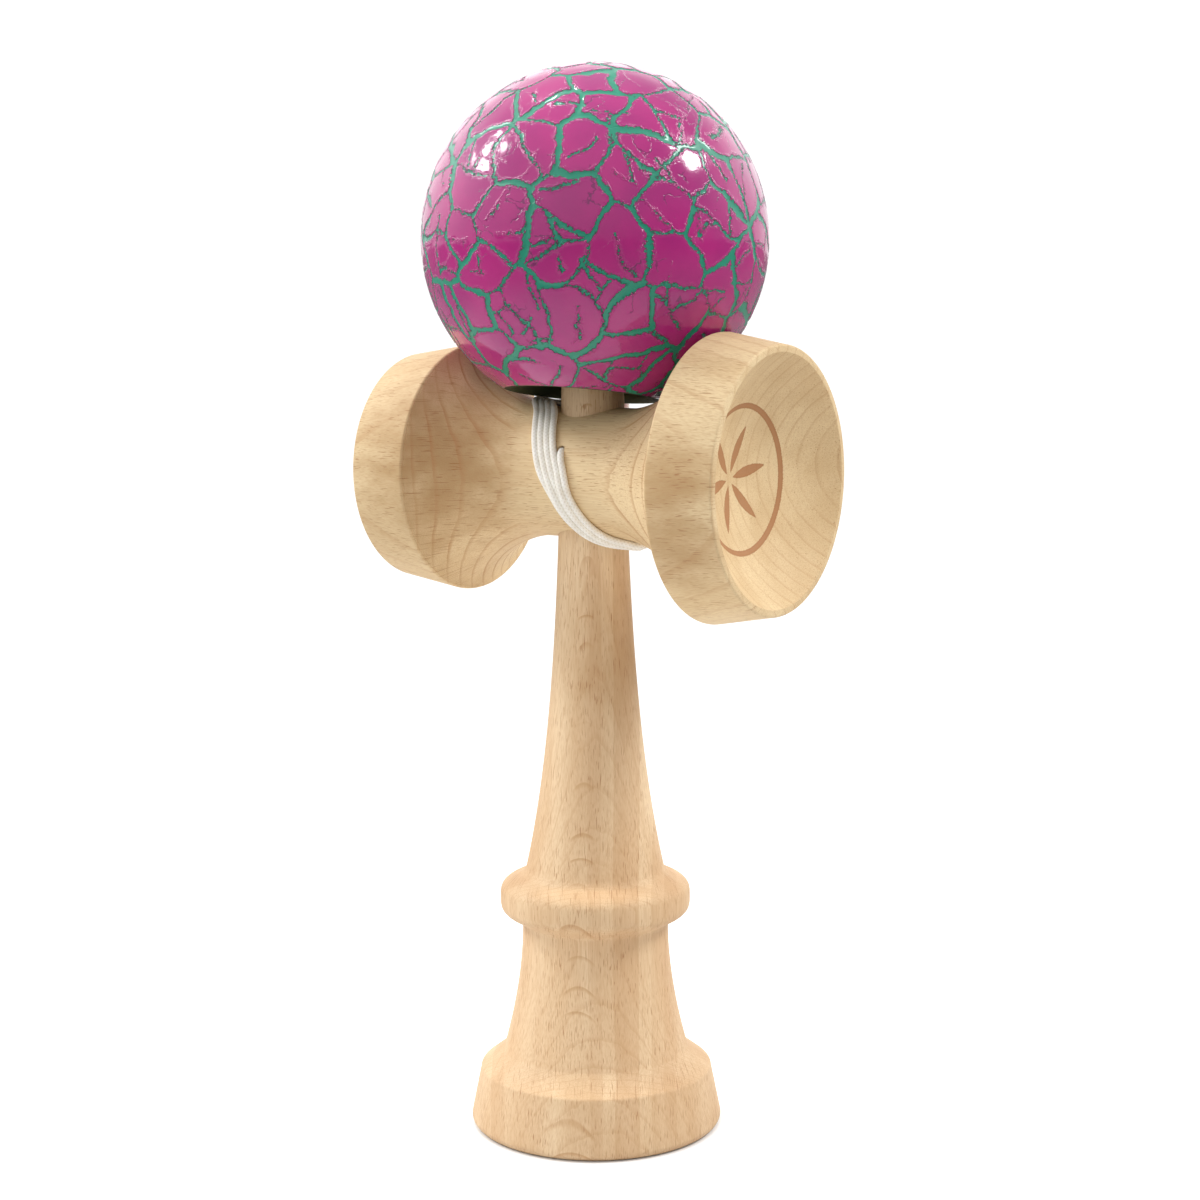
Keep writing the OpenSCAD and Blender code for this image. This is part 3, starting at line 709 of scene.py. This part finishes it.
# Crosspiece
def cup_profile(cup, dish_steps):
    """Half of the crosspiece from the waist to the middle of its dish, as radius and distance along it."""
    shares = np.linspace(0, 1, CURVE_STEPS)
    xs = WAIST_HALF + (cup["shoulder_x"] - WAIST_HALF) * (1 - (1 - shares) ** 2)
    neck = [(min(neck_r(cup["side"] * x), cup["shoulder_r"] - FINE_EDGE_R), x) for x in xs]
    r = FINE_EDGE_R
    band = (arc(cup["shoulder_r"] - r, cup["shoulder_x"] + r, r, -90, 0)
            + arc(cup["rim_r"] - r, CROSS_HALF - r, r, 0, 90))
    bowl = [(d_r, CROSS_HALF - d_h)
            for d_r, d_h in dish(cup["rim_r"] - r - CUP_RIM_W, cup["dish_h"], dish_steps)]
    return [(d_r, cup["side"] * x) for d_r, x in neck + band + bowl[::-1]]


def bore(name, bottom, top, way, place):
    """A tapered cutter along way, from a bottom (radius, height) to a top one."""
    points, faces = lathe([(0, bottom[1]), bottom, top, (0, top[1])], BORE_SEGMENTS)
    turn = np.array(Vector((0, 0, 1)).rotation_difference(Vector(way)).to_matrix())
    return mesh_object(name, points @ turn.T + np.array(place), faces)


def cut(made, cutters):
    """The object with the cutters taken out of it."""
    for cutter in cutters:
        modifier = made.modifiers.new(cutter.name, "BOOLEAN")
        modifier.object, modifier.operation, modifier.solver = cutter, "DIFFERENCE", "EXACT"
    evaluated = made.evaluated_get(bpy.context.evaluated_depsgraph_get())
    mesh = bpy.data.meshes.new_from_object(evaluated)
    name = made.name
    for gone in [made, *cutters]:
        bpy.data.objects.remove(gone)
    return finished(name, mesh)


def rosette(points):
    """How far inside a six-petalled rosette in the big cup's dish each point lies, in millimetres."""
    y, z = points[:, 1], points[:, 2] - CROSS_Z
    from_middle = np.hypot(y, z)
    circles = [np.hypot(y - ROSETTE_R * math.cos(a), z - ROSETTE_R * math.sin(a))
               for a in ROSETTE_TURN + np.arange(6) * math.pi / 3]
    petals = [ROSETTE_R - PETAL_INSET - np.maximum(circles[k], circles[(k + 2) % 6]) for k in range(6)]
    ring = ROSETTE_RING_HALF_W - np.abs(from_middle - ROSETTE_R - ROSETTE_RING_GAP)
    in_dish = ((points[:, 0] > CROSS_HALF - BIG["dish_h"] - ROSETTE_SLACK)
               & (from_middle < BIG["rim_r"] - ROSETTE_RIM_W))
    return np.where(in_dish, np.maximum(np.max(petals, axis=0), ring), NO_ROSETTE)


def make_crosspiece():
    profile = cup_profile(SMALL, SMALL_DISH_STEPS)[::-1] + cup_profile(BIG, BIG_DISH_STEPS)
    points, faces = lathe(profile, CROSS_SEGMENTS)
    points = np.stack([points[:, 2], points[:, 1], CROSS_Z - points[:, 0]], axis=1)
    body = mesh_object("crosspiece_wood", points, faces)
    seat_low = shaft_r(CROSS_Z - WAIST_R) + BORE_GAP
    seat_high = SPIKE_ROOT_R + BORE_GAP
    slope = (seat_high - seat_low) / (2 * WAIST_R)
    hole_way = (0, -math.cos(math.radians(HOLE_TURN)), -math.sin(math.radians(HOLE_TURN)))
    made = cut(body, [
        bore("bore", (seat_low - BORE_PAST * slope, -WAIST_R - BORE_PAST),
             (seat_high + BORE_PAST * slope, WAIST_R + BORE_PAST), (0, 0, 1), (0, 0, CROSS_Z)),
        bore("string_hole", (SEEN_HOLE_R, 0.0), (SEEN_HOLE_R, WAIST_R + HOLE_PAST), hole_way,
             (HOLE_X, 0, CROSS_Z)),
    ])
    add_attribute(made, "burnt", rosette(np.array([v.co for v in made.data.vertices]) / MM))
    return made


# Ball
rng = np.random.default_rng(SEED)
noise.seed_set(SEED)


def sphere_points(count):
    """Points spread evenly over a sphere, each moved at random."""
    i = np.arange(count) + 0.5
    up = 1 - 2 * i / count
    turn = i * math.pi * (3 - math.sqrt(5))
    flat = np.sqrt(1 - up**2)
    points = np.stack([flat * np.cos(turn), flat * np.sin(turn), up], axis=1)
    points += rng.normal(0, CELL_SCATTER * math.sqrt(4 / count), points.shape)
    return BALL_R * points / np.linalg.norm(points, axis=1, keepdims=True)


def warped(points, size, reach, seed):
    """Points moved by smooth noise of a given size and reach."""
    offset = seed * Vector(WARP_OFFSET)
    return points + reach * np.array([noise.noise_vector(Vector(p) / size + offset) for p in points])


def cell_edges(points, seeds, half_width, families=None):
    """How far inside the cracks between the seeds' cells each point lies.
    half_width gives the half width of the crack between two cells.
    With families, cracks part only cells of one family."""
    gaps = np.linalg.norm(points[:, None] - seeds, axis=2)
    near = np.argsort(gaps, axis=1)[:, :NEAREST_CELLS]
    first = near[:, 0]
    best = np.full(len(points), NO_CRACK)
    rows = np.arange(len(points))
    for other in near[:, 1:].T:
        apart = np.linalg.norm(seeds[first] - seeds[other], axis=1)
        away = (gaps[rows, other] ** 2 - gaps[rows, first] ** 2) / (2 * apart)
        value = half_width[np.minimum(first, other), np.maximum(first, other)] - away
        if families is not None:
            value = np.where(families[first] == families[other], value, NO_CRACK)
        best = np.maximum(best, value)
    return best


def crackle(points):
    """How far inside a wide crack each point on the ball lies, in millimetres."""
    moved = warped(warped(points, *WARP), *FINE_WARP)
    coarse, fine = sphere_points(COARSE_CELLS), sphere_points(FINE_CELLS)
    widths = rng.choice(CRACK_HALF_WIDTHS, (COARSE_CELLS, COARSE_CELLS))
    family = np.argmin(np.linalg.norm(fine[:, None] - coarse, axis=2), axis=1)
    thin = rng.choice(TWIG_HALF_WIDTHS, (FINE_CELLS, FINE_CELLS))
    swell = np.array([noise.noise(Vector(p) / SWELL_SIZE) for p in points])
    main = cell_edges(moved, coarse, widths)
    twigs = cell_edges(moved, fine, thin, family)
    return np.clip(np.maximum(main, twigs) + SWELL * swell, -CRACK_LIMIT, CRACK_LIMIT)


def make_ball():
    mouth = math.pi - math.asin(BALL_FLAT_R / BALL_R)
    bevel_h = BALL_R - POLE_BEVEL_SHARE * STRING_HOLE_R
    pole_r = STRING_HOLE_R * (1 + POLE_BEVEL_SHARE)
    angles = np.linspace(mouth, math.asin(pole_r / BALL_R), BALL_RINGS)
    skin = [(BALL_R * math.sin(a), BALL_R * math.cos(a)) for a in angles]
    hole = [(STRING_HOLE_R, bevel_h), (STRING_HOLE_R, CONE_HIGH_H), (SPIKE_HOLE_R, CONE_LOW_H),
            (SPIKE_HOLE_R, -BALL_FLAT_H + MOUTH_BEVEL_W), (SPIKE_HOLE_R + MOUTH_BEVEL_W, -BALL_FLAT_H)]
    points = turned_rings(skin + hole, BALL_SEGMENTS)
    count, faces = len(skin) + len(hole), []
    for i in range(count):
        a, b = i * BALL_SEGMENTS, (i + 1) % count * BALL_SEGMENTS
        faces += [(a + k, a + (k + 1) % BALL_SEGMENTS, b + (k + 1) % BALL_SEGMENTS, b + k)
                  for k in range(BALL_SEGMENTS)]
    on_skin = np.arange(len(points)) < len(skin) * BALL_SEGMENTS
    crack = np.full(len(points), -float(CRACK_LIMIT))
    crack[on_skin] = crackle(points[on_skin])
    ring = np.arange(len(skin))
    from_edge = np.minimum(ring, len(skin) - 1 - ring).repeat(BALL_SEGMENTS)
    calm = np.zeros(len(points))
    calm[on_skin] = smooth_step(from_edge, 0, CALM_RINGS)
    lift = (LIP_H * np.exp(-(((crack + LIP_OFF) / LIP_W) ** 2))
            - CRACK_H * smooth_step(crack, CRACK_FROM, CRACK_TO))
    points *= 1 + (calm * lift / BALL_R)[:, None]
    lean = np.array(Matrix.Rotation(-BALL_LEAN, 3, "X"))
    made = mesh_object("ball_lacquer", points @ lean.T + BALL_PLACE, faces, BALL_SMOOTH_ANGLE)
    add_attribute(made, "crack", crack)
    rows = np.arange(count).repeat(BALL_SEGMENTS)
    made.data.polygons.foreach_set("material_index", (rows >= len(skin) - 1).astype(np.int32))
    return made


# The object
def dress(made, body, slot, materials, *nodes):
    """Give a piece its materials, the body that it rides on and the nodes that it replaces. slot is not used.
    """
    if made.data.materials:
        made.data.materials.clear()
    for material in materials:
        made.data.materials.append(material)
    if body:
        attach(made, body)
    if nodes:
        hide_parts(*nodes)


def declare(path):
    path = path * MM


string = [string_material()]
winding, winding_path = string_piece("string_winding_braid", WINDING)
riser, riser_path = string_piece("string_riser_braid", RISER)
over, over_path = string_piece("string_over_ball_braid", OVER)
ball_way = (0, math.sin(BALL_LEAN), math.cos(BALL_LEAN))
anchor_knot = knot("anchor_knot_tied", WINDING[0], WINDING[1] - WINDING[0], KNOT_R)
bead_knot = knot("bead_knot_tied", over_ball(0, BEAD_KNOT_H - BEAD_KNOT_SHARE * KNOT_R), ball_way,
                 BEAD_KNOT_SHARE * KNOT_R)
dress(winding, "crosspiece", "string", string, "string_winding")
dress(anchor_knot, "crosspiece", "string", string, "anchor_knot")
dress(over, "string_end", "string", string, "string_over_ball")
dress(bead_knot, "string_end", "string", string, "bead_knot")
dress(riser, None, "string", string, "string_riser")
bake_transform(riser)
declare(winding_path)
declare(riser_path)
declare(over_path)

CAMERA_SIDE = (CAMERA_RIGHT.x, CAMERA_RIGHT.y, 0.0)
HANDLE_AXIS = ((0.0, 0.0, 0.0), (CAMERA_SIDE[1], -CAMERA_SIDE[0], 0.0), CAMERA_SIDE)
CROSS_AXIS = ((0.0, 0.0, CROSS_Z), (0.0, -1.0, 0.0), (0.0, 0.0, 1.0))
# Painted shadow of the big cup on the right of the shaft, as a darker spot on the handle.
HANDLE_PAINTED_SHADOW = (((9, -5, 86), 20, 0.6),)
# Darker spots on the crosspiece. The last is painted shade on the small cup's neck under the ball. The two on
# the big cup's band are a browner patch of the wood, partly painted shade.
CROSS_STAINS_AND_SHADE = (((30, -23, 117), 12, 0.85), ((31, -20, 107), 11, 0.75), ((-22, -14, 119), 24, 0.95))
handle_wood = wood("handle_beech", 2, HANDLE_AXIS, trunk=(-17.0, 25.0, 0.0), ring_gap=1.1,
                   tones=(srgb(238, 211, 173), srgb(224, 192, 152)), rings=0.22, striped=True,
                   stains_and_shade=HANDLE_PAINTED_SHADOW)
cross_wood = wood("crosspiece_beech", 0, CROSS_AXIS, trunk=(0.0, 36.0, 119.5), ring_gap=2.7,
                  tones=(srgb(238, 213, 169), srgb(226, 198, 153)), cups=True, stains_and_shade=CROSS_STAINS_AND_SHADE)
bead_wood = wood("bead_beech", 2, HANDLE_AXIS, trunk=(6.0, 8.0, 0.0), ring_gap=1.4,
                 tones=(srgb(230, 198, 158), srgb(216, 180, 140)), rings=0.4)
handle_turned = mesh_object("handle_turned", *lathe(handle_profile(), HANDLE_SEGMENTS))
dress(handle_turned, "handle", "handle_wood", [handle_wood], "handle")
dress(make_crosspiece(), "crosspiece", "crosspiece_wood", [cross_wood], "crosspiece")
dress(make_ball(), "ball", "ball_lacquer", [lacquer_material(), shaded_mouth_material()], "ball")
dress(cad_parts["bead"], None, "bead_wood", [bead_wood])

# Floor, backdrop and light, in metres. Tones and glows are those near the object and far from it.
# WORLD_LOW and WORLD_HIGH are two heights in the sky, from -1 to 1, and the shares of light there.
FLOOR_HALF, FLOOR_NEAR, FLOOR_FAR = 12.0, 0.1, 0.45
FLOOR_TONES, FLOOR_GLOWS = (0.72, 0.26), (0.5, 0.86)
CONTACT_NEAR, CONTACT_FAR = 0.0212, 0.0234
WHITE = (1.0, 1.0, 1.0, 1.0)
WORLD_BACK, WORLD_FRONT = 1.7, 0.15
WORLD_LOW, WORLD_HIGH = (-0.05, 0.4, 0.6, 1.0), (0.35, 0.8, 1.0, 0.4)
WORLD_FILL, FILL_WAY = 0.85, (-0.45, 0.62, 0.64)

# Softboxes: name, way from the ball as right, up and towards the camera, size and power
LAMP_DISTANCE = 1.0
LAMPS = (("left_box", (-0.768, 0.637, -0.03), 0.31, 5.0),
         ("right_box", (0.735, 0.675, 0.12), 0.3, 6.1),
         ("top_box", (-0.28, 0.948, -0.15), 0.09, 1.6))


def make_floor():
    """A white floor with a glow that only the camera sees, and that ends at the edge of the base."""
    h = FLOOR_HALF
    mesh = bpy.data.meshes.new("floor")
    mesh.from_pydata([(-h, -h, 0), (h, -h, 0), (h, h, 0), (-h, h, 0)], [], [(0, 1, 2, 3)])
    floor = bpy.data.objects.new("floor", mesh)
    bpy.context.scene.collection.objects.link(floor)
    s = Shader("floor_white", {"Roughness": 1.0, "Specular IOR Level": 0.0})
    away = s.size(s.own_place())
    tone = s.remap(away, FLOOR_NEAR, FLOOR_FAR, *FLOOR_TONES)
    glow = s.times(s.remap(away, FLOOR_NEAR, FLOOR_FAR, *FLOOR_GLOWS), s.camera_ray())
    glow = s.times(glow, s.remap(away, CONTACT_NEAR, CONTACT_FAR))
    s.into(s.shader, {"Base Color": s.add("CombineColor", {0: tone, 1: tone, 2: tone}).outputs[0],
                      "Emission Color": WHITE, "Emission Strength": glow})
    mesh.materials.append(s.material)


def make_world():
    """White to the camera. On the object, a soft light, strong from the backdrop and weak from the room."""
    world = bpy.data.worlds.new("studio")
    bpy.context.scene.world = world
    world.use_nodes = True
    s = Nodes(world.node_tree)
    way = s.add("TexCoord", {}).outputs["Generated"]
    height = s.along(way, (0.0, 0.0, 1.0))
    level = s.remap(s.along(way, CAMERA_BACK), -1.0, 1.0, WORLD_BACK, WORLD_FRONT)
    level = s.times(level, s.remap(height, *WORLD_LOW))
    level = s.times(level, s.remap(height, *WORLD_HIGH))
    fill = s.math("MAXIMUM", s.along(way, from_camera(FILL_WAY)), 0.0)
    level = s.math("MULTIPLY_ADD", fill, WORLD_FILL, level)
    level = s.math("MAXIMUM", level, s.camera_ray())
    s.into(world.node_tree.nodes["Background"], {"Color": WHITE, "Strength": level})


def softbox(name, way, size, power):
    """A square lamp that faces the ball."""
    data = bpy.data.lights.new(name, "AREA")
    data.shape, data.size, data.energy = "SQUARE", size, power
    lamp = bpy.data.objects.new(name, data)
    bpy.context.scene.collection.objects.link(lamp)
    way = from_camera(way)
    lamp.matrix_world = (Matrix.Translation(Vector(BALL_PLACE * MM) + LAMP_DISTANCE * way)
                         @ way.to_track_quat("Z", "Y").to_matrix().to_4x4())


make_floor()
make_world()
for lamp_values in LAMPS:
    softbox(*lamp_values)
bpy.context.scene.view_settings.view_transform = "Standard"
